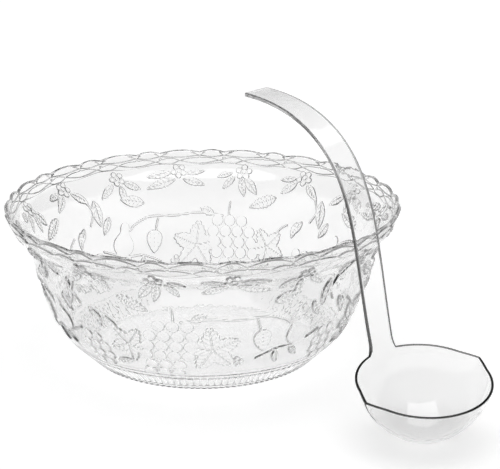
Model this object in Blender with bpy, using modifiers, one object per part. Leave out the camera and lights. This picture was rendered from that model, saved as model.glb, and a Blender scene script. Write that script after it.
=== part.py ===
"""Clear moulded punch bowl with a scalloped, flared lip, and its one-piece ladle.

Metres, +Z up.  The origin is the centre of the bowl's flat underside, on the table.
The ladle stands on the same table, beside the bowl, with its hooked handle over the lip.
"""
import bmesh
import bpy
from math import cos, pi, radians, sin
from mathutils import Vector
from mathutils.geometry import interpolate_bezier

# Bowl: driving sizes
RIM_RADIUS = 0.178
BOWL_HEIGHT = 0.140
WALL = 0.0022
FOOT_RADIUS = 0.104
FOOT_TOP_RADIUS = 0.1205
FOOT_HEIGHT = 0.016
LIP_HEIGHT = 0.013
LIP_LEAN = 0.005
FLARE_HEIGHT = 0.018
FLARE_REACH = 0.013

# Scallops of the lip: pairs of one wide and one narrow lobe
SCALLOP_PAIRS = 17
STEPS_PER_PAIR = 8
WIDE_SHARE = 5 / STEPS_PER_PAIR
SCALLOP_DROP = 0.0020
SCALLOP_PINCH = 0.0012
TURN_STEPS = STEPS_PER_PAIR * SCALLOP_PAIRS
FIRST_WIDE_LOBE = 35 / TURN_STEPS * 2 * pi

# Ladle: driving sizes, in its own frame (+X forwards, +Y across, +Z up the cup, rim at Z 0)
CUP_RADIUS = 0.0554
CUP_DEPTH = 0.0530
CUP_WALL = 0.0022
CUP_COLUMNS = 56
CUP_ROWS = 7
POUR_LIP_REACH = 0.0048
POUR_LIP_SPREAD = radians(20)
STRAP_WIDTH = 0.024
STRAP_THICKNESS = 0.0036
STRAP_COLUMNS = 4
STRAP_ROWS_PER_STRETCH = 7
HANDLE_RISE = 0.173
HANDLE_REACH = 0.178

# Where the ladle stands: its rim centre, its heading and how far it leans back from the bowl
LADLE_X = 0.1815
LADLE_Y = -0.2078
LADLE_HEADING = radians(-55)
LADLE_LEAN = radians(9.5)


def clear_scene():
    """Remove every object, so the script starts from nothing."""
    for old in list(bpy.data.objects):
        bpy.data.objects.remove(old, do_unlink=True)


def new_collection(name):
    """Make a collection in the scene."""
    group = bpy.data.collections.new(name)
    bpy.context.scene.collection.children.link(group)
    return group


def clear_plastic(name, colour):
    """Colourless moulded polystyrene: glossy, seen right through."""
    material = bpy.data.materials.new(name)
    material.use_nodes = True
    shader = material.node_tree.nodes["Principled BSDF"]
    shader.inputs["Base Color"].default_value = (*colour, 1.0)
    shader.inputs["Roughness"].default_value = 0.05
    shader.inputs["Metallic"].default_value = 0.0
    shader.inputs["IOR"].default_value = 1.59
    shader.inputs["Transmission Weight"].default_value = 1.0
    return material


def mesh_object(name, bm, group, material):
    """Turn a bmesh into a smooth-shaded object in a collection."""
    mesh = bpy.data.meshes.new(name)
    bm.to_mesh(mesh)
    bm.free()
    mesh.shade_smooth()
    mesh.set_sharp_from_angle(angle=radians(40))
    mesh.materials.append(material)
    thing = bpy.data.objects.new(name, mesh)
    group.objects.link(thing)
    return thing


def bezier(start, start_handle, end_handle, end, pieces):
    """Points along one cubic curve, the first one left out."""
    return interpolate_bezier(start, start_handle, end_handle, end, pieces + 1)[1:]


def bowl_profile():
    """The bowl's outer side in the XZ plane, from the lip's edge down and in to the axis."""
    flare_top = Vector((RIM_RADIUS - LIP_LEAN, 0, BOWL_HEIGHT - LIP_HEIGHT))
    flare_foot = flare_top - Vector((FLARE_REACH, 0, FLARE_HEIGHT))
    foot_top = Vector((FOOT_TOP_RADIUS, 0, FOOT_HEIGHT))
    points = [Vector((RIM_RADIUS, 0, BOWL_HEIGHT)), flare_top]
    points += bezier(flare_top, flare_top - Vector((0.002, 0, 0.008)),
                     flare_foot + Vector((0.0025, 0, 0.007)), flare_foot, 3)
    points += bezier(flare_foot, flare_foot - Vector((0.013, 0, 0.039)),
                     foot_top + Vector((0.0215, 0, 0.020)), foot_top, 6)
    points += [Vector((FOOT_RADIUS, 0, 0)), Vector((0, 0, 0))]
    return points


def scallop(angle):
    """Height of the lip's edge, 0 in a notch and 1 on a lobe, at an angle round the bowl."""
    along = ((angle - FIRST_WIDE_LOBE) / (2 * pi) * SCALLOP_PAIRS) % 1.0
    if along < WIDE_SHARE:
        lobe = along / WIDE_SHARE
    else:
        lobe = (along - WIDE_SHARE) / (1 - WIDE_SHARE)
    return sin(pi * lobe)


def turned_mesh(name, profile, steps):
    """The open surface that a profile sweeps about Z, as a new mesh."""
    outline = bpy.data.meshes.new(name)
    outline.from_pydata(profile, [(i, i + 1) for i in range(len(profile) - 1)], [])
    lathe = bpy.data.objects.new(name, outline)
    bpy.context.scene.collection.objects.link(lathe)
    screw = lathe.modifiers.new("turn", 'SCREW')
    screw.steps = steps
    screw.render_steps = steps
    screw.use_merge_vertices = True
    screw.merge_threshold = 0.00005
    evaluated = lathe.evaluated_get(bpy.context.evaluated_depsgraph_get())
    turned = bpy.data.meshes.new_from_object(evaluated)
    bpy.data.objects.remove(lathe)
    return turned


def thicken(thing, thickness, thin_group=None, thin_factor=1.0):
    """Give an open surface its wall, on the inner side."""
    shell = thing.modifiers.new("wall", 'SOLIDIFY')
    shell.thickness = thickness
    shell.offset = -1
    shell.use_even_offset = True
    if thin_group:
        shell.vertex_group = thin_group
        shell.thickness_vertex_group = thin_factor
    return shell


def make_bowl(group):
    """The one-piece bowl: a turned shell whose lip rises and falls in scallops."""
    bm = bmesh.new()
    bm.from_mesh(turned_mesh("bowl_turned", bowl_profile(), TURN_STEPS))
    bmesh.ops.remove_doubles(bm, verts=bm.verts, dist=0.00005)
    for vert in bm.verts:
        if vert.co.z < BOWL_HEIGHT - 0.001:
            continue
        angle = Vector((1, 0)).angle_signed(vert.co.xy, 0)
        dip = 1 - scallop(-angle)
        vert.co.z -= dip * SCALLOP_DROP
        vert.co.xy *= 1 - dip * SCALLOP_PINCH / RIM_RADIUS
    bowl = mesh_object("bowl", bm, group, clear_plastic("clear_bowl_plastic", (0.93, 0.95, 0.96)))
    thicken(bowl, WALL)
    return bowl


def cup_radius(angle):
    """Radius of the ladle cup's rim: round, drawn out to a pouring lip on each side."""
    radius = CUP_RADIUS
    for side in (-pi / 2, pi / 2):
        apart = (angle - side + pi) % (2 * pi) - pi
        radius += POUR_LIP_REACH * max(0.0, 1 - abs(apart) / POUR_LIP_SPREAD) ** 1.5
    return radius


def cup_point(angle, out):
    """A point on the cup's outer side: out is 0 at the bottom and 1 at the rim."""
    radius = CUP_RADIUS * out + (cup_radius(angle) - CUP_RADIUS) * out ** 6
    depth = CUP_DEPTH * (1 - out ** 2) ** 0.7
    return Vector((radius * cos(angle), radius * sin(angle), -depth))


def handle_line():
    """The handle's outer face in the ladle's XZ plane, from the cup's rim to the hook's tip."""
    foot = cup_point(pi, 1.0)
    waist = foot + Vector((-0.14 * HANDLE_REACH, 0, 0.52 * HANDLE_RISE))
    shoulder = foot + Vector((-0.35 * HANDLE_REACH, 0, 0.88 * HANDLE_RISE))
    tip = foot + Vector((-HANDLE_REACH, 0, 0.965 * HANDLE_RISE))
    points = [foot]
    points += bezier(foot, foot + Vector((-0.009, 0, 0.029)),
                     waist - Vector((-0.009, 0, 0.029)), waist, STRAP_ROWS_PER_STRETCH)
    points += bezier(waist, waist + Vector((-0.008, 0, 0.025)),
                     shoulder - Vector((-0.020, 0, 0.015)), shoulder, STRAP_ROWS_PER_STRETCH)
    points += bezier(shoulder, shoulder + Vector((-0.032, 0, 0.024)),
                     tip + Vector((0.039, 0, 0.007)), tip, STRAP_ROWS_PER_STRETCH)
    return points


def add_cup(bm):
    """The cup's outer side, as rings from the bottom up.  Returns the ring at the rim."""
    bottom = bm.verts.new(cup_point(0, 0))
    ring = None
    for row in range(1, CUP_ROWS + 1):
        out = sin(pi / 2 * row / CUP_ROWS)
        above = [bm.verts.new(cup_point(2 * pi * i / CUP_COLUMNS, out)) for i in range(CUP_COLUMNS)]
        for i in range(CUP_COLUMNS):
            j = (i + 1) % CUP_COLUMNS
            if ring is None:
                bm.faces.new((bottom, above[j], above[i]))
            else:
                bm.faces.new((ring[i], ring[j], above[j], above[i]))
        ring = above
    return ring


def add_strap(bm, rim):
    """The handle, a strap that grows out of the back of the rim.  Returns its vertices."""
    middle = CUP_COLUMNS // 2
    edge = rim[middle - STRAP_COLUMNS // 2: middle + STRAP_COLUMNS // 2 + 1]
    line = handle_line()
    strap = list(edge)
    for row, point in enumerate(line[1:], start=1):
        like_cup = max(0.0, 1 - row / STRAP_ROWS_PER_STRETCH) ** 3
        across = []
        for i, foot in enumerate(edge):
            flat = (1 - 2 * i / STRAP_COLUMNS) * STRAP_WIDTH / 2
            side = flat + (foot.co.y - flat) * like_cup
            bulge = (foot.co.x - rim[middle].co.x) * like_cup
            across.append(bm.verts.new((point.x + bulge, side, point.z)))
        below = strap[-len(edge):]
        for i in range(STRAP_COLUMNS):
            bm.faces.new((below[i], below[i + 1], across[i + 1], across[i]))
        strap += across
    return strap


def make_ladle(group):
    """The one-piece ladle: a two-lipped cup and a hooked strap, one open surface given a wall."""
    bm = bmesh.new()
    rim = add_cup(bm)
    strap = add_strap(bm, rim)
    bm.verts.index_update()
    strap_indices = [vert.index for vert in strap[STRAP_COLUMNS + 1:]]
    cup_indices = [vert.index for vert in bm.verts if vert.index not in set(strap_indices)]
    ladle = mesh_object("ladle", bm, group, clear_plastic("clear_ladle_plastic", (0.94, 0.95, 0.95)))
    thickness = ladle.vertex_groups.new(name="thickness")
    thickness.add(strap_indices, 1.0, 'REPLACE')
    thickness.add(cup_indices, CUP_WALL / STRAP_THICKNESS, 'REPLACE')
    thicken(ladle, STRAP_THICKNESS, "thickness", 0.0)
    ladle.rotation_mode = 'ZYX'
    ladle.rotation_euler = (LADLE_LEAN, 0, LADLE_HEADING)
    ladle.location = (LADLE_X, LADLE_Y, 0)
    bpy.context.view_layer.update()
    lowest = min((ladle.matrix_world @ vert.co).z for vert in ladle.data.vertices)
    ladle.location.z = -lowest
    return ladle


def main():
    clear_scene()
    parts = new_collection("punch_bowl")
    make_bowl(parts)
    make_ladle(parts)


main()
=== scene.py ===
"""The looks of a clear moulded punch bowl and its ladle.

Metres, +Z up.  The bowl's axis is Z, and its underside is at Z 0.
Angles round the bowl are counted from +X towards +Y, so its front, towards -Y, is at -90 degrees.
"""
from math import cos, pi, radians, sin

import bmesh
import bpy
import numpy as np
from mathutils import Matrix, Vector
from mathutils.geometry import interpolate_bezier


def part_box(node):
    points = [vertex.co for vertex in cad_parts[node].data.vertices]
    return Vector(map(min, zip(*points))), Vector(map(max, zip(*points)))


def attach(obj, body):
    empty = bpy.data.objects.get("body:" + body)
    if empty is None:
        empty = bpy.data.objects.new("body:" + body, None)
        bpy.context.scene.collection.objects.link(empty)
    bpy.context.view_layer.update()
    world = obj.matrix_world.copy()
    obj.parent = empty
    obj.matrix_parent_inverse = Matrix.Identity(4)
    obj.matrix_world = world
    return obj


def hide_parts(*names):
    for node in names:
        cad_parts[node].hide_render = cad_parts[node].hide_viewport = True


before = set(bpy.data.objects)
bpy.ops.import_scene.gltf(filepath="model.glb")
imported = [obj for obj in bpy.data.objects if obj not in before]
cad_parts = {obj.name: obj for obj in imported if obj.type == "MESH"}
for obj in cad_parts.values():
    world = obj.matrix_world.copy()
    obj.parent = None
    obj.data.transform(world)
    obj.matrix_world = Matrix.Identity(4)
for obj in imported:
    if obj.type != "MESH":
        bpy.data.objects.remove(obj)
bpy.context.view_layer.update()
BOWL_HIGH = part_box("bowl")[1]

# ------------------------------------------------------------------ the bowl's sizes

RIM_RADIUS = BOWL_HIGH.y
BOWL_HEIGHT = BOWL_HIGH.z
WALL = 0.0022
FOOT_RADIUS = 0.104
FOOT_TOP_RADIUS = 0.1205
FOOT_HEIGHT = 0.016
LIP_HEIGHT = 0.013
LIP_LEAN = 0.005
FLARE_HEIGHT = 0.018
FLARE_REACH = 0.013

SCALLOP_PAIRS = 17
WIDE_SHARE = 5 / 8
FIRST_WIDE_LOBE = radians(92.65)
SCALLOP_DROP = 0.0020
SCALLOP_PINCH = 0.0012

RIBS = 124

# How finely the bowl is divided: steps round it, rows down it, and the rows that are closer on the lip.
# The smooth inside takes one step for every COARSENING outside.
STEPS_PER_RIB = 10
TURN_STEPS = RIBS * STEPS_PER_RIB
COARSENING = 5
ROW_HEIGHT = 0.0010
LIP_ROW_HEIGHT = 0.0005
LIP_ROWS_END = 0.0175
EDGE_MARGIN = 0.0010
FLARE_PIECES = 24
BODY_PIECES = 60


def bezier(start, start_handle, end_handle, end, pieces):
    """Points along one cubic curve in the XZ plane, the first one left out."""
    corners = [Vector((x, 0, z)) for x, z in (start, start_handle, end_handle, end)]
    return [(p.x, p.z) for p in interpolate_bezier(*corners, pieces + 1)[1:]]


def outer_line():
    """The bowl's outer side, from the lip's edge down to the foot's edge, as (radius, height) points."""
    flare_top = (RIM_RADIUS - LIP_LEAN, BOWL_HEIGHT - LIP_HEIGHT)
    flare_foot = (flare_top[0] - FLARE_REACH, flare_top[1] - FLARE_HEIGHT)
    foot_top = (FOOT_TOP_RADIUS, FOOT_HEIGHT)
    points = [(RIM_RADIUS, BOWL_HEIGHT), flare_top]
    points += bezier(flare_top, (flare_top[0] - 0.002, flare_top[1] - 0.008),
                     (flare_foot[0] + 0.0025, flare_foot[1] + 0.007), flare_foot, FLARE_PIECES)
    points += bezier(flare_foot, (flare_foot[0] - 0.013, flare_foot[1] - 0.039),
                     (foot_top[0] + 0.0215, foot_top[1] + 0.020), foot_top, BODY_PIECES)
    points += [(FOOT_RADIUS, 0)]
    return np.array(points)


OUTER = outer_line()
OUTER_STEPS = np.hypot(*np.diff(OUTER, axis=0).T)
OUTER_ALONG = np.concatenate([[0], np.cumsum(OUTER_STEPS)])
OUTER_LENGTH = OUTER_ALONG[-1]
FOOT_LENGTH = OUTER_STEPS[-1]


def on_outer_line(down):
    """Places on the outer line, as (radius, height), at distances down from the lip's edge."""
    return np.column_stack([np.interp(down, OUTER_ALONG, OUTER[:, i]) for i in (0, 1)])


def outward(down):
    """Outward directions of the outer line at distances down from the lip's edge."""
    reach = 0.0015
    slope = on_outer_line(down + reach) - on_outer_line(down - reach)
    slope /= np.hypot(*slope.T)[:, None]
    return np.column_stack([-slope[:, 1], slope[:, 0]])


def lobe_share(angle):
    """How far across its scallop each angle lies, from 0 to 1. Wide and narrow scallops take turns."""
    along = ((angle - FIRST_WIDE_LOBE) / (2 * pi) * SCALLOP_PAIRS) % 1.0
    return np.where(along < WIDE_SHARE, along / WIDE_SHARE, (along - WIDE_SHARE) / (1 - WIDE_SHARE))


# ------------------------------------------------------------------ relief motifs
# Each motif takes x to the right and y upwards, in metres from its own root or centre,
# and gives a height from 0 to 1.

# EDGE is how wide the steep step round a flat-topped shape is.
EDGE = 0.0011
VEIN_WIDTH = 0.0009
SEED_GAP = 0.0042
VINE_VEIN_GAP = 0.0048


def rise(value, low, high):
    """0 below low, 1 above high, with a soft step between."""
    t = np.clip((value - low) / (high - low), 0, 1)
    return t * t * (3 - 2 * t)


def plateau(inside):
    """A flat-topped shape with a steep edge, from distances inside its outline."""
    return rise(inside, -EDGE / 2, EDGE / 2)


def groove(distance, width):
    """1 along a line and 0 away from it."""
    return 1 - rise(np.abs(distance), width * 0.2, width)


def leaf(x, y, length, width, veins=4, teeth=0):
    """A pointed leaf growing to the right from its root, with a midrib and slanting side veins."""
    t = np.clip(x / length, 0, 1)
    half = width / 2 * np.sin(pi * t ** 0.85) ** 0.85
    if teeth:
        half = half * (1 - 0.22 * np.abs(np.sin(pi * t * teeth)))
    inside = np.where((x > 0) & (x < length), half - np.abs(y), -EDGE - np.abs(y))
    midrib = groove(y, VEIN_WIDTH)
    step = length / (veins + 1)
    slant = (x - 0.9 * np.abs(y)) / step
    side_veins = groove(((slant + 0.5) % 1 - 0.5) * step, VEIN_WIDTH)
    veined = np.maximum(midrib, 0.7 * side_veins) * rise(inside, 0.0004, 0.0014)
    return plateau(inside) * (1 - 0.7 * veined)


def blossom(x, y, radius, petals=5):
    """An open flower with a domed heart."""
    r = np.hypot(x, y)
    wave = np.abs(np.cos(np.arctan2(y, x) * petals / 2))
    edge = radius * (0.42 + 0.58 * wave ** 0.6)
    crease = groove(wave * r, 0.0012) * 0.8
    heart = np.sqrt(np.clip(1 - (r / (radius * 0.26)) ** 2, 0, 1))
    ditch = groove(r - radius * 0.3, 0.0014)
    return np.maximum(plateau(edge - r) * (1 - crease) * (1 - 0.8 * ditch), heart)


def bead(x, y, radius):
    """A round berry: a dome on a steep step."""
    r = np.hypot(x, y)
    dome = np.sqrt(np.clip(1 - (r / radius) ** 2, 0, 1))
    return plateau(radius - EDGE / 2 - r) * (0.5 + 0.5 * dome)


def bunch(x, y, rows, radius, lean=0.0):
    """Rows of berries, one row under another, leaning sideways as they hang."""
    height = np.zeros_like(x)
    for row, count in enumerate(rows):
        for i in range(count):
            side = (i - (count - 1) / 2) * radius * 2 + row * lean
            height = np.maximum(height, bead(x - side, y + row * radius * 1.75, radius))
    return height


def branch(x, y, points, width):
    """A round twig along a smooth line through its points."""
    knots = [Vector((px, py, 0)) for px, py in points]
    line = []
    for i, (start, end) in enumerate(zip(knots, knots[1:])):
        pull = (end - knots[max(i - 1, 0)]) / 6
        push = (knots[min(i + 2, len(knots) - 1)] - start) / 6
        line += interpolate_bezier(start, start + pull, end - push, end, 9)[bool(line):]
    near = np.full_like(x, width)
    for start, end in zip(line, line[1:]):
        run = end - start
        t = np.clip(((x - start.x) * run.x + (y - start.y) * run.y) / run.length_squared, 0, 1)
        near = np.minimum(near, np.hypot(x - start.x - t * run.x, y - start.y - t * run.y))
    return np.sqrt(np.clip(1 - (near / (width / 2)) ** 2, 0, 1))


def vine_leaf(x, y, radius, lobes=5):
    """A broad toothed leaf with pointed lobes, a vein along each and finer veins across."""
    r = np.hypot(x, y)
    turn = (np.arctan2(y, x) / (2 * pi) * lobes + 0.5) % 1 - 0.5
    edge = radius * (1 - 0.95 * np.abs(turn)) * (1 - 0.05 * np.cos(turn * 2 * pi * 7))
    inside = edge - r
    off_vein = np.abs(turn) * r * 2 * pi / lobes
    main_veins = groove(off_vein, 0.0010)
    along = (r - off_vein) / VINE_VEIN_GAP
    small_veins = groove(((along + 0.5) % 1 - 0.5) * VINE_VEIN_GAP, 0.0008)
    veined = np.maximum(main_veins, 0.5 * small_veins) * rise(inside, 0.0004, 0.0014)
    return plateau(inside) * (1 - 0.7 * veined)


def pear(x, y, size):
    """A pear hanging from its narrow end, with a rounded body."""
    body = size * 0.32 - np.hypot(x, y + size * 0.67)
    neck = size * 0.13 - np.hypot(x, y + size * 0.15)
    blend = size * 0.30
    mix = np.clip(0.5 + 0.5 * (body - neck) / blend, 0, 1)
    inside = neck + (body - neck) * mix + blend * mix * (1 - mix)
    return plateau(inside) * (0.75 + 0.25 * rise(inside, 0, size * 0.3))


def strawberry(x, y, size):
    """A pointed berry hanging from its broad end, with rows of seed pits."""
    t = np.clip(-y / size, 0, 1)
    half = size * 0.34 * np.sin(pi * t ** 0.65) ** 0.7
    inside = np.where((y < 0) & (y > -size), half - np.abs(x), -EDGE - np.abs(x))
    seeds = np.cos(x / SEED_GAP * 2 * pi) + np.cos(y / SEED_GAP * 2 * pi + pi * np.round(x / SEED_GAP * 2))
    pits = rise(seeds, 1.2, 1.8)
    return plateau(inside) * (1 - 0.5 * pits)


# ------------------------------------------------------------------ the pattern round the bowl
# One unit is a quarter turn. Each row says what, its angle in degrees, its place down the side in mm,
# and how far it is turned from pointing right, in degrees.

PATTERN_UNITS = 4
WIDEST_MOTIF = 0.075
PATTERN = (
    (lambda x, y: blossom(x, y, 0.0085), -102.5, 23, 20),
    (lambda x, y: leaf(x, y, 0.021, 0.0085), -103.5, 29, -128),
    (lambda x, y: leaf(x, y, 0.019, 0.0070), -101.8, 30, -104),
    (lambda x, y: leaf(x, y, 0.018, 0.0065), -99.6, 28, -50),
    (lambda x, y: leaf(x, y, 0.016, 0.0060), -98.6, 24, -20),
    (lambda x, y: blossom(x, y, 0.0080), -80, 22, -10),
    (lambda x, y: leaf(x, y, 0.023, 0.0075), -81.2, 31, -163),
    (lambda x, y: leaf(x, y, 0.020, 0.0060), -82.4, 25, 172),
    (lambda x, y: leaf(x, y, 0.032, 0.0085, veins=5), -78.6, 31, -14),
    (lambda x, y: leaf(x, y, 0.026, 0.0080), -77.4, 23, -8),
    (lambda x, y: blossom(x, y, 0.0085), -125, 22, 50),
    (lambda x, y: leaf(x, y, 0.020, 0.0080), -123, 28, -42),
    (lambda x, y: leaf(x, y, 0.017, 0.0065), -122, 24, -12),
    (lambda x, y: leaf(x, y, 0.022, 0.0080), -127, 28, -140),
    (lambda x, y: blossom(x, y, 0.0080), -57.5, 24, 0),
    (lambda x, y: leaf(x, y, 0.019, 0.0075), -59.5, 29, -150),
    (lambda x, y: leaf(x, y, 0.018, 0.0070), -57.8, 32, -100),
    (lambda x, y: leaf(x, y, 0.021, 0.0075), -55.3, 29, -38),
    (lambda x, y: bunch(x, y, (3, 4, 4, 4, 3, 3), 0.0061, lean=-0.0022), -98.5, 73, 0),
    (lambda x, y: bunch(x, y, (2, 3, 3, 2, 1), 0.0054, lean=0.0010), -130.5, 97, 0),
    (lambda x, y: vine_leaf(x, y, 0.025), -85.5, 98, 25),
    (lambda x, y: vine_leaf(x, y, 0.020), -114.5, 96, -15),
    (lambda x, y: leaf(x, y, 0.027, 0.0110, veins=5), -135.5, 41, -97),
    (lambda x, y: leaf(x, y, 0.019, 0.0070), -128.5, 65, -55),
    (lambda x, y: leaf(x, y, 0.017, 0.0065), -126, 67, -78),
    (lambda x, y: leaf(x, y, 0.015, 0.0090, teeth=5), -92.3, 67, 28),
    (lambda x, y: leaf(x, y, 0.030, 0.0130, veins=6, teeth=7), -116, 46, -25),
    (lambda x, y: leaf(x, y, 0.026, 0.0110, veins=5), -66, 52, 15),
    (lambda x, y: strawberry(x, y, 0.023), -69, 80, 8),
    (lambda x, y: pear(x, y, 0.035), -57.5, 68, 16),
    (lambda x, y: blossom(x, y, 0.0065), -77, 113, 10),
    (lambda x, y: leaf(x, y, 0.016, 0.0065), -63, 105, -75),
    (lambda x, y: leaf(x, y, 0.015, 0.0060), -57, 104, -50),
    (lambda x, y: leaf(x, y, 0.019, 0.0080), -51, 60, -60),
    (lambda x, y: leaf(x, y, 0.018, 0.0070), -122, 120, 14),
    (lambda x, y: branch(x, y, ((-0.044, -0.001), (-0.020, 0.002), (0.004, 0), (0.030, 0.001),
                                (0.046, -0.005), (0.052, -0.010)), 0.0022), -79, 67, 0),
    (lambda x, y: branch(x, y, ((-0.026, -0.009), (-0.008, -0.001), (0.010, 0), (0.034, 0.010)), 0.0020),
     -59, 102, 0),
    (lambda x, y: branch(x, y, ((0.003, 0.012), (-0.003, 0), (0.003, -0.012)), 0.0018), -133, 52, 0),
    (lambda x, y: branch(x, y, ((-0.008, 0.006), (0, 0), (0.003, -0.008)), 0.0018), -119, 77, 0),
    (lambda x, y: branch(x, y, ((0, 0.010), (0.001, 0), (0, -0.006)), 0.0018), -98.5, 64, 0),
    (lambda x, y: branch(x, y, ((-0.002, 0.006), (0, 0), (0.001, -0.005)), 0.0018), -70, 75, 0),
)


def fruit_relief(angle, down, radius):
    """Height of the fruit and leaf pattern, 0 to 1, over the whole outer side."""
    height = np.zeros_like(angle)
    for unit in range(PATTERN_UNITS):
        for motif, degrees, place, twist in PATTERN:
            centre = radians(degrees + unit * 360 / PATTERN_UNITS)
            apart = (angle - centre + pi) % (2 * pi) - pi
            near = (np.abs(apart) * radius < WIDEST_MOTIF) & (np.abs(down - place / 1000) < WIDEST_MOTIF)
            x = apart[near] * radius[near]
            y = place / 1000 - down[near]
            c, s = cos(radians(twist)), sin(radians(twist))
            height[near] = np.maximum(height[near], motif(x * c + y * s, y * c - x * s))
    return height


# The lip's band ends LIP_BAND below its edge, on a wavy line. A row of lenses is its place below
# the edge and half its height.
LIP_BAND = 0.0148
LIP_SWING = 0.0014
LENS_LAG = radians(6.5)
UPPER_LENSES = (0.0042, 0.0033)
LOWER_LENSES = (0.0108, 0.0032)
KNOTS = 0.0076
KNOT_RADIUS = 0.0018
SCALLOP_LENGTH = 0.030


def lenses(angle, down, middle, half_height):
    """One almond shape for each scallop, end to end round the lip."""
    return plateau(half_height * np.sin(pi * lobe_share(angle)) - np.abs(down - middle))


def lip_relief(angle, down):
    """Two rows of almond shapes wound round the lip, with a bead at every meeting, 0 to 1."""
    pairs = (angle - FIRST_WIDE_LOBE) / (2 * pi) * SCALLOP_PAIRS
    band = plateau(LIP_BAND + LIP_SWING * np.sin(2 * pi * pairs + 0.8) - down)
    rows = np.maximum(lenses(angle, down, *UPPER_LENSES), lenses(angle + LENS_LAG, down, *LOWER_LENSES))
    share = lobe_share(angle)
    knot = bead(np.minimum(share, 1 - share) * SCALLOP_LENGTH, down - KNOTS, KNOT_RADIUS)
    return band * (0.35 + 0.65 * np.maximum(rows, knot))


# How far each kind of relief stands out, and where the ledge and the ribs begin above the foot.
FRUIT_HEIGHT = 0.0014
LIP_RELIEF_HEIGHT = 0.00145
RIB_HEIGHT = 0.0007
LEDGE_HEIGHT = 0.0008
LEDGE_PLACE = OUTER_LENGTH - FOOT_LENGTH - 0.0085
RIB_START = OUTER_LENGTH - FOOT_LENGTH - 0.0015


def outer_relief(angle, down, radius):
    """How far the outer side stands out from its plain turned shape, in metres."""
    fruit = fruit_relief(angle, down, radius) * rise(LEDGE_PLACE - down, 0, 0.002)
    across_rib = np.abs(np.sin(angle * RIBS / 2))
    ribs = across_rib ** 0.8 * rise(down - RIB_START - 0.0012 * (1 - across_rib), 0, 0.0012)
    ledge = rise(down - LEDGE_PLACE, 0, 0.0008) * (1 - rise(down - RIB_START + 0.0032, 0, 0.0012))
    pattern = np.maximum(FRUIT_HEIGHT * fruit, LIP_RELIEF_HEIGHT * lip_relief(angle, down))
    return pattern + RIB_HEIGHT * ribs + LEDGE_HEIGHT * ledge


# ------------------------------------------------------------------ building the bowl

def scalloped(r, z, angle):
    """Radius and height after the lip's scallops, which fade out down the lip."""
    dip = (1 - np.sin(pi * lobe_share(angle))) * rise(z, BOWL_HEIGHT - 0.016, BOWL_HEIGHT)
    return r - dip * SCALLOP_PINCH, z - dip * SCALLOP_DROP


def ring_of_vertices(r, z, angles):
    """One ring round the bowl's axis, with the lip's scallops in it."""
    r, z = scalloped(r + 0 * angles, z + 0 * angles, angles)
    return np.column_stack([r * np.cos(angles), r * np.sin(angles), z])


# A step's steepness is taken over SLOPE_REACH to each side. The steps get painted shade in the bowl's colour,
# weighted by SIDEWAYS_SHADE and FACING_DOWN_SHADE by which way they face, and by LIP_DARKENING more on the
# lip.
SLOPE_REACH = 0.0004
SIDEWAYS_SHADE = 0.6
FACING_DOWN_SHADE = 0.4
LIP_DARKENING = 1.4


def row_places():
    """Distances of the outer side's rows below the lip's edge, foot first, closer together on the lip."""
    side_rows = round((OUTER_LENGTH - LIP_ROWS_END) / ROW_HEIGHT)
    lip_rows = round(LIP_ROWS_END / LIP_ROW_HEIGHT)
    foot_end = OUTER_LENGTH - EDGE_MARGIN
    return np.concatenate([np.linspace(foot_end, LIP_ROWS_END, side_rows, endpoint=False),
                           np.linspace(LIP_ROWS_END, EDGE_MARGIN, lip_rows)])


def step_shade(angle, down, radius):
    """Painted shade on the relief's steps, standing in for the dark lines refraction draws at them: darker
    the steeper, darkest facing down, and more on the lip.
    """
    aside, below = SLOPE_REACH / radius, SLOPE_REACH
    around = outer_relief(angle + aside, down, radius) - outer_relief(angle - aside, down, radius)
    along = outer_relief(angle, down + below, radius) - outer_relief(angle, down - below, radius)
    steep = np.hypot(around, along)
    facing_down = 0.5 - 0.5 * along / np.maximum(steep, 1e-9)
    shade = steep / (2 * SLOPE_REACH) * (SIDEWAYS_SHADE + FACING_DOWN_SHADE * facing_down)
    return shade * (1 + LIP_DARKENING * rise(LIP_BAND + LIP_SWING - down, 0, 0.001))


def outer_rings(angles):
    """Rings of the outer side from the foot up to the lip, and the painted shade of each of their vertices.
    """
    downs = row_places()
    places, normals = on_outer_line(downs), outward(downs)
    angle, down = np.meshgrid(angles, downs)
    radius = np.repeat(places[:, :1], len(angles), axis=1)
    height = outer_relief(angle, down, radius)
    rings = [ring_of_vertices(place[0] + normal[0] * h, place[1] + normal[1] * h, angles)
             for place, normal, h in zip(places, normals, height)]
    return rings, list(step_shade(angle, down, radius))


def round_rings(centre, radius, start, end, steps, angles):
    """Rings round a rounded edge, from one direction to another, in degrees from outwards."""
    turns = np.radians(np.linspace(start, end, steps))
    return [ring_of_vertices(centre[0] + radius * cos(t), centre[1] + radius * sin(t), angles) for t in turns]


# LIP_EDGE_SHADE is the even painted shade on the lip's rounded edge.
LIP_EDGE_SHADE = 0.45
FOOT_EDGE_ROUNDING = 0.0010
FOOT_EDGE_INSET = 0.0012
INNER_ROWS = 84
INNER_LIP_ROWS = 20
FLOOR_CORNER = 0.0090
FLOOR_RINGS = (0.060, 0.040, 0.020)
UNDERSIDE_RINGS = (0.020, 0.040, 0.060, 0.080, 0.098)


def lip_edge_rings(angles):
    """The rounded edge of the lip, from the outer side over to the inner side."""
    down = np.array([EDGE_MARGIN])
    middle = on_outer_line(down)[0] - outward(down)[0] * WALL / 2
    return round_rings(middle, WALL / 2, 0, 180, 9, angles)


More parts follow.
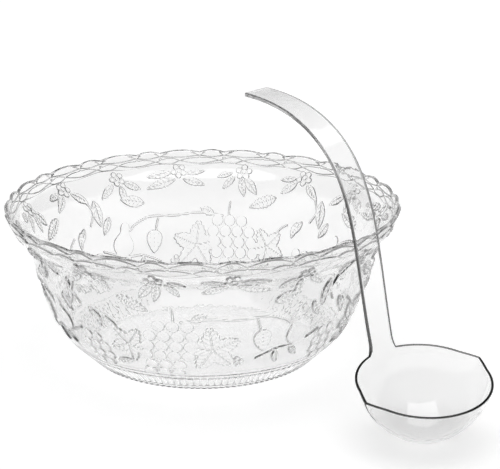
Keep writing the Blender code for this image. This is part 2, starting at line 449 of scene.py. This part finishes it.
def inner_rings(fine, coarse):
    """The smooth inner side from the lip down to the floor's middle, fine only where the lip is scalloped."""
    downs = np.linspace(EDGE_MARGIN, OUTER_LENGTH - FLOOR_CORNER, INNER_ROWS)
    places = on_outer_line(downs) - outward(downs) * WALL
    corner = places[-1]
    floor_curve = bezier(tuple(corner), (corner[0] - 0.004, corner[1] - 0.004),
                         (corner[0] - 0.007, WALL), (corner[0] - 0.013, WALL), 10)
    rings = [ring_of_vertices(r, z, fine) for r, z in places[:INNER_LIP_ROWS]]
    rings += [ring_of_vertices(r, z, coarse) for r, z in (*places[INNER_LIP_ROWS:], *floor_curve)]
    return rings + [ring_of_vertices(r, WALL, coarse) for r in FLOOR_RINGS]


def bowl_faces(rings, bottom, top):
    """Faces between neighbouring rings, closed by fans round the bottom and top middle vertices."""
    faces = []
    start = 0
    for low, high in zip(rings, rings[1:]):
        faces += joined(start, len(low), start + len(low), len(high))
        start += len(low)
    count = len(rings[-1])
    faces += [(bottom, (i + 1) % count, i) for i in range(count)]
    faces += [(top, start + i, start + (i + 1) % count) for i in range(count)]
    return faces


def build_bowl():
    """One closed mesh: relief, ribs and scallops outside, smooth inside."""
    fine = np.arange(TURN_STEPS) * 2 * pi / TURN_STEPS
    coarse = fine[::COARSENING]
    underside = [ring_of_vertices(r, 0.0, coarse) for r in UNDERSIDE_RINGS]
    foot_edge = round_rings((FOOT_RADIUS - FOOT_EDGE_INSET, FOOT_EDGE_ROUNDING), FOOT_EDGE_ROUNDING,
                            -90, -25, 4, fine)
    outside, outside_shade = outer_rings(fine)
    lip_edge = lip_edge_rings(fine)
    inside = inner_rings(fine, coarse)
    rings = underside + foot_edge + outside + lip_edge + inside
    vertices = np.concatenate(rings + [np.array([[0, 0, 0], [0, 0, WALL]])])
    # Painted shade for each vertex: the relief's steps from step_shade, an even LIP_EDGE_SHADE on the lip's
    # rounded edge, none elsewhere.
    shade = np.concatenate([np.zeros(len(r)) for r in underside + foot_edge] + outside_shade
                           + [np.full(len(r), LIP_EDGE_SHADE) for r in lip_edge]
                           + [np.zeros(len(r)) for r in inside] + [np.zeros(2)])
    faces = bowl_faces(rings, len(vertices) - 2, len(vertices) - 1)
    bowl = add_mesh("clear_bowl", vertices.tolist(), faces)
    store = bowl.data.attributes.new("edge_shade", 'FLOAT', 'POINT')
    store.data.foreach_set("value", shade.astype(np.float32))
    return bowl


def joined(low_start, low_count, high_start, high_count):
    """Faces between two rings, one of which may have several vertices for each of the other's."""
    steps = min(low_count, high_count)
    low_each, high_each = low_count // steps, high_count // steps
    faces = []
    for i in range(steps):
        low = [low_start + (i * low_each + k) % low_count for k in range(low_each + 1)]
        high = [high_start + (i * high_each + k) % high_count for k in range(high_each + 1)]
        faces.append((*low, *reversed(high)))
    return faces


def add_mesh(name, vertices, faces):
    """A mesh object in the scene, shaded smooth."""
    mesh = bpy.data.meshes.new(name)
    mesh.from_pydata(vertices, [], faces)
    mesh.shade_smooth()
    thing = bpy.data.objects.new(name, mesh)
    bpy.context.scene.collection.objects.link(thing)
    return thing


# ------------------------------------------------------------------ the ladle

LADLE_X = 0.1815
LADLE_Y = -0.2078
LADLE_HEADING = radians(-55)
LADLE_LEAN = radians(9.5)
CUP_RADIUS = 0.0554
CUP_DEPTH = 0.0530
CUP_WALL = 0.0022
CUP_COLUMNS = 168
CUP_ROWS = 24
POUR_LIP_REACH = 0.0048
POUR_LIP_SPREAD = radians(20)
STRAP_WIDTH = 0.024
STRAP_THICKNESS = 0.0036
STRAP_COLUMNS = 14
STRAP_ROWS_PER_STRETCH = 28
HANDLE_RISE = 0.173
HANDLE_REACH = 0.178
EDGE_ROUNDING = 0.0010
ROOT_FILLET = 0.0090
ROOT_SPREAD = 0.0024


def cup_radius(angle):
    """Radius of the cup's rim: round, drawn out to a pouring lip on each side."""
    radius = CUP_RADIUS
    for side in (-pi / 2, pi / 2):
        apart = (angle - side + pi) % (2 * pi) - pi
        radius += POUR_LIP_REACH * max(0.0, 1 - abs(apart) / POUR_LIP_SPREAD) ** 1.5
    return radius


def cup_point(angle, out):
    """A point on the cup's outer side: out is 0 at the bottom and 1 at the rim."""
    radius = CUP_RADIUS * out + (cup_radius(angle) - CUP_RADIUS) * out ** 6
    depth = CUP_DEPTH * (1 - out ** 2) ** 0.7
    return Vector((radius * cos(angle), radius * sin(angle), -depth))


def handle_line():
    """The handle's outer face in the ladle's XZ plane, from the cup's rim to the hook's tip."""
    def at(x, z):
        return (-CUP_RADIUS + x, z)
    waist = (-0.14 * HANDLE_REACH, 0.52 * HANDLE_RISE)
    shoulder = (-0.35 * HANDLE_REACH, 0.88 * HANDLE_RISE)
    tip = (-HANDLE_REACH, 0.965 * HANDLE_RISE)
    n = STRAP_ROWS_PER_STRETCH
    points = [at(0, 0)]
    points += bezier(at(0, 0), at(-0.009, 0.029), at(waist[0] + 0.009, waist[1] - 0.029), at(*waist), n)
    points += bezier(at(*waist), at(waist[0] - 0.008, waist[1] + 0.025),
                     at(shoulder[0] + 0.020, shoulder[1] - 0.015), at(*shoulder), n)
    points += bezier(at(*shoulder), at(shoulder[0] - 0.032, shoulder[1] + 0.024),
                     at(tip[0] + 0.039, tip[1] + 0.007), at(*tip), n)
    return points


def cup_faces(bm):
    """Makes the cup's outer skin and returns its rim's vertices."""
    bottom = bm.verts.new(cup_point(0, 0))
    ring = None
    for row in range(1, CUP_ROWS + 1):
        out = sin(pi / 2 * row / CUP_ROWS)
        above = [bm.verts.new(cup_point(2 * pi * i / CUP_COLUMNS, out)) for i in range(CUP_COLUMNS)]
        for i in range(CUP_COLUMNS):
            j = (i + 1) % CUP_COLUMNS
            corners = (bottom, above[j], above[i]) if ring is None else (ring[i], ring[j], above[j], above[i])
            bm.faces.new(corners)
        ring = above
    return ring


def strap_faces(bm, rim):
    """Makes the handle's outer skin up from the back of the rim."""
    middle = CUP_COLUMNS // 2
    root = rim[middle - STRAP_COLUMNS // 2: middle + STRAP_COLUMNS // 2 + 1]
    below = root
    for row, (px, pz) in enumerate(handle_line()[1:], start=1):
        like_cup = max(0.0, 1 - row / STRAP_ROWS_PER_STRETCH) ** 3
        half_width = STRAP_WIDTH / 2 + ROOT_SPREAD * max(0.0, 1 - pz / ROOT_FILLET) ** 2
        across = []
        for i, foot in enumerate(root):
            side = (1 - 2 * i / STRAP_COLUMNS) * half_width
            bulge = (foot.co.x - rim[middle].co.x) * like_cup
            across.append(bm.verts.new((px + bulge, side, pz)))
        for i in range(STRAP_COLUMNS):
            bm.faces.new((below[i], below[i + 1], across[i + 1], across[i]))
        below = across


def thicken(ladle, cup_count, total):
    """Gives the ladle's skin its wall, thinner in the cup than in the handle, and rounds the edges."""
    group = ladle.vertex_groups.new(name="thickness")
    group.add(range(cup_count), CUP_WALL / STRAP_THICKNESS, 'REPLACE')
    group.add(range(cup_count, total), 1.0, 'REPLACE')
    shell = ladle.modifiers.new("wall", 'SOLIDIFY')
    shell.thickness = STRAP_THICKNESS
    shell.offset = -1
    shell.use_even_offset = True
    shell.vertex_group = "thickness"
    # The rim and the rounded edges take the second material, which carries the edges' painted shade.
    shell.material_offset_rim = 1
    bevel = ladle.modifiers.new("rounded_edges", 'BEVEL')
    bevel.width = EDGE_ROUNDING
    bevel.segments = 4
    bevel.material = 1
    bevel.limit_method = 'ANGLE'
    bevel.angle_limit = radians(50)


def stand_on_table(ladle):
    """Leans and turns the ladle, and lowers it until its cup touches the table."""
    ladle.rotation_mode = 'ZYX'
    ladle.rotation_euler = (LADLE_LEAN, 0, LADLE_HEADING)
    ladle.location = (LADLE_X, LADLE_Y, 0)
    bpy.context.view_layer.update()
    lowest = min((ladle.matrix_world @ vert.co).z for vert in ladle.data.vertices)
    ladle.data.transform(Matrix.Translation((0, 0, -lowest)) @ ladle.matrix_world)
    ladle.matrix_world = Matrix.Identity(4)


def build_ladle():
    """The cup and its strap handle as one piece."""
    bm = bmesh.new()
    rim = cup_faces(bm)
    cup_count = len(bm.verts)
    strap_faces(bm, rim)
    total = len(bm.verts)
    mesh = bpy.data.meshes.new("clear_ladle")
    bm.to_mesh(mesh)
    bm.free()
    mesh.shade_smooth()
    ladle = bpy.data.objects.new("clear_ladle", mesh)
    bpy.context.scene.collection.objects.link(ladle)
    thicken(ladle, cup_count, total)
    stand_on_table(ladle)
    return ladle


# ------------------------------------------------------------------ materials

# The lower a tint, the less light a surface lets through. The darker colours of the relief's steps, the
# ladle's cup and the ladle's edges are painted shade, standing in for the shade that refraction gives them. A
# step stays clear while its painted shade is under CLEAR_BELOW. The ladle's handle and edges clear between
# two heights, where their painted shade fades.
PLASTIC_TINT = 0.93
CUP_TINT_AND_PAINTED_SHADE = 0.91
HANDLE_TINT = 0.97
STEP_PAINTED_SHADE = 0.30
EDGE_PAINTED_SHADE = 0.06
HOOK_EDGE_PAINTED_SHADE = 0.50
CLEAR_BELOW = 0.28
HANDLE_CLEARS_AT = (0.050, 0.160)
EDGE_CLEARS_AT = (0.185, 0.225)
PLASTIC_IOR = 1.55
RIPPLE_SCALE = 70
RIPPLE_STRENGTH = 0.25
RIPPLE_DEPTH = 0.0008
POLISH_RANGE = (0.01, 0.05)


def clear_plastic(name, tint):
    """Colourless polystyrene with a slightly uneven polish. tint is how much light it lets through."""
    material = bpy.data.materials.new(name)
    material.use_nodes = True
    nodes, links = material.node_tree.nodes, material.node_tree.links
    shader = nodes["Principled BSDF"]
    shader.inputs["Base Color"].default_value = (tint * 0.995, tint, tint, 1)
    shader.inputs["IOR"].default_value = PLASTIC_IOR
    shader.inputs["Transmission Weight"].default_value = 1.0
    where = nodes.new("ShaderNodeTexCoord")
    ripple = nodes.new("ShaderNodeTexNoise")
    ripple.inputs["Scale"].default_value = RIPPLE_SCALE
    links.new(where.outputs["Object"], ripple.inputs["Vector"])
    polish = nodes.new("ShaderNodeMapRange")
    polish.inputs["To Min"].default_value, polish.inputs["To Max"].default_value = POLISH_RANGE
    links.new(ripple.outputs["Fac"], polish.inputs["Value"])
    links.new(polish.outputs["Result"], shader.inputs["Roughness"])
    bump = nodes.new("ShaderNodeBump")
    bump.inputs["Strength"].default_value = RIPPLE_STRENGTH
    bump.inputs["Distance"].default_value = RIPPLE_DEPTH
    links.new(ripple.outputs["Fac"], bump.inputs["Height"])
    links.new(bump.outputs["Normal"], shader.inputs["Normal"])
    return material


def relief_plastic(name):
    """Clear plastic with painted shade: its colour darkens where the relief's edges are steep, by the
    edge_shade attribute.
    """
    material = clear_plastic(name, PLASTIC_TINT)
    nodes, links = material.node_tree.nodes, material.node_tree.links
    steep = nodes.new("ShaderNodeAttribute")
    steep.attribute_name = "edge_shade"
    ramp = nodes.new("ShaderNodeValToRGB")
    clear, dark = ramp.color_ramp.elements
    clear.position = CLEAR_BELOW
    clear.color = (PLASTIC_TINT, PLASTIC_TINT, PLASTIC_TINT, 1)
    dark.position = 1.0
    dark.color = (STEP_PAINTED_SHADE, STEP_PAINTED_SHADE, STEP_PAINTED_SHADE, 1)
    links.new(steep.outputs["Fac"], ramp.inputs["Fac"])
    links.new(ramp.outputs["Color"], nodes["Principled BSDF"].inputs["Base Color"])
    return material


def ladle_plastic(name, low_tint_and_painted_shade, high_tint, heights):
    """Clear plastic with painted shade by height: darker in the ladle's lower part and clearer towards the
    hook.
    """
    material = clear_plastic(name, low_tint_and_painted_shade)
    nodes, links = material.node_tree.nodes, material.node_tree.links
    where = nodes.new("ShaderNodeTexCoord")
    split = nodes.new("ShaderNodeSeparateXYZ")
    links.new(where.outputs["Object"], split.inputs["Vector"])
    tint = nodes.new("ShaderNodeMapRange")
    tint.inputs["From Min"].default_value, tint.inputs["From Max"].default_value = heights
    tint.inputs["To Min"].default_value = low_tint_and_painted_shade
    tint.inputs["To Max"].default_value = high_tint
    links.new(split.outputs["Z"], tint.inputs["Value"])
    links.new(tint.outputs["Result"], nodes["Principled BSDF"].inputs["Base Color"])
    return material


bowl = build_bowl()
bowl.data.materials.append(relief_plastic("moulded_bowl_plastic"))
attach(bowl, "bowl")
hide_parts("bowl")

ladle = build_ladle()
# Both ladle materials carry painted shade by height: the cup darker than the handle, and the edges nearly
# black up to the shoulder.
ladle.data.materials.append(
    ladle_plastic("moulded_ladle_plastic", CUP_TINT_AND_PAINTED_SHADE, HANDLE_TINT, HANDLE_CLEARS_AT))
ladle.data.materials.append(
    ladle_plastic("ladle_edge_painted_shade_plastic", EDGE_PAINTED_SHADE, HOOK_EDGE_PAINTED_SHADE, EDGE_CLEARS_AT))
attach(ladle, "ladle")
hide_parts("ladle")


# ------------------------------------------------------------------ studio

TABLE_GAP = 0.0004
TABLE_HALF_SIZE = 6
TABLE_GLOW = 0.51
MIDDLE_GLOW = 0.82
GLOW_REACH = 0.28
LAMP_STRENGTH = 1.6
HORIZON_GLOW_TOP = 0.20
ROOM_DIMS_BY = 0.34
ROOM_BRIGHT = 1.0
ROOM_DIM = 0.20
LAMP_EDGE = (0.50, 0.56)


def build_stage():
    """A wide table of white acrylic just under the object, lit from below and most under its middle."""
    half = TABLE_HALF_SIZE
    table = add_mesh("table", [(-half, -half, 0), (half, -half, 0), (half, half, 0), (-half, half, 0)],
                     [(0, 1, 2, 3)])
    table.location.z = -TABLE_GAP
    acrylic = bpy.data.materials.new("white_acrylic")
    acrylic.use_nodes = True
    shader = acrylic.node_tree.nodes["Principled BSDF"]
    shader.inputs["Base Color"].default_value = (0.8, 0.8, 0.8, 1)
    shader.inputs["Roughness"].default_value = 0.9
    shader.inputs["Specular IOR Level"].default_value = 0.2
    nodes, links = acrylic.node_tree.nodes, acrylic.node_tree.links
    where = nodes.new("ShaderNodeTexCoord")
    away = nodes.new("ShaderNodeVectorMath")
    away.operation = 'LENGTH'
    links.new(where.outputs["Object"], away.inputs[0])
    glow = nodes.new("ShaderNodeMapRange")
    glow.interpolation_type = 'SMOOTHERSTEP'
    glow.inputs["From Max"].default_value = GLOW_REACH
    glow.inputs["To Min"].default_value = MIDDLE_GLOW
    glow.inputs["To Max"].default_value = TABLE_GLOW
    links.new(away.outputs["Value"], glow.inputs["Value"])
    shader.inputs["Emission Color"].default_value = (1, 1, 1, 1)
    links.new(glow.outputs["Result"], shader.inputs["Emission Strength"])
    table.data.materials.append(acrylic)


def build_light():
    """A room that is white up to a little above the horizon and dimmer above, with a square soft lamp."""
    world = bpy.data.worlds.new("studio")
    bpy.context.scene.world = world
    world.use_nodes = True
    nodes, links = world.node_tree.nodes, world.node_tree.links

    def maths(operation, first, second=0.0):
        node = nodes.new("ShaderNodeMath")
        node.operation = operation
        for socket, value in zip(node.inputs, (first, second)):
            if isinstance(value, bpy.types.NodeSocket):
                links.new(value, socket)
            else:
                socket.default_value = value
        return node.outputs["Value"]

    def ramp(value, stops):
        node = nodes.new("ShaderNodeValToRGB")
        node.color_ramp.interpolation = 'EASE'
        while len(node.color_ramp.elements) < len(stops):
            node.color_ramp.elements.new(0.5)
        for element, (position, level) in zip(node.color_ramp.elements, stops):
            element.position = position
            element.color = (level, level, level, 1)
        links.new(value, node.inputs["Fac"])
        return node.outputs["Color"]

    where = nodes.new("ShaderNodeTexCoord")
    split = nodes.new("ShaderNodeSeparateXYZ")
    links.new(where.outputs["Generated"], split.inputs["Vector"])
    height = split.outputs["Z"]
    room = ramp(height, ((0.0, ROOM_BRIGHT), (HORIZON_GLOW_TOP, ROOM_BRIGHT),
                         (ROOM_DIMS_BY, ROOM_DIM), (1.0, ROOM_DIM)))
    sideways = maths('MAXIMUM', maths('ABSOLUTE', split.outputs["X"]), maths('ABSOLUTE', split.outputs["Y"]))
    off_lamp = maths('DIVIDE', sideways, maths('MAXIMUM', height, 0.01))
    lamp = ramp(off_lamp, ((0.0, 1.0), (LAMP_EDGE[0], 1.0), (LAMP_EDGE[1], 0.0)))
    light = maths('ADD', room, maths('MULTIPLY', lamp, LAMP_STRENGTH))
    links.new(light, nodes["Background"].inputs["Color"])


CAMERA_PLACE = (0.0425, -1.40, 0.558)
CAMERA_DIP = radians(17.84)
FOCAL_LENGTH = 116.3


def build_camera():
    """A long-lens camera in front of the bowl and a little above it, looking down at CAMERA_DIP."""
    data = bpy.data.cameras.new("camera")
    camera = bpy.data.objects.new("camera", data)
    bpy.context.scene.collection.objects.link(camera)
    camera.location = CAMERA_PLACE
    camera.rotation_euler = (pi / 2 - CAMERA_DIP, 0, 0)
    data.sensor_width = 36
    data.lens = FOCAL_LENGTH
    data.clip_end = 50
    bpy.context.scene.camera = camera


build_stage()
build_light()
build_camera()
scene = bpy.context.scene
scene.view_settings.view_transform = 'Standard'
scene.cycles.max_bounces = 24
scene.cycles.transmission_bounces = 24
scene.cycles.glossy_bounces = 12
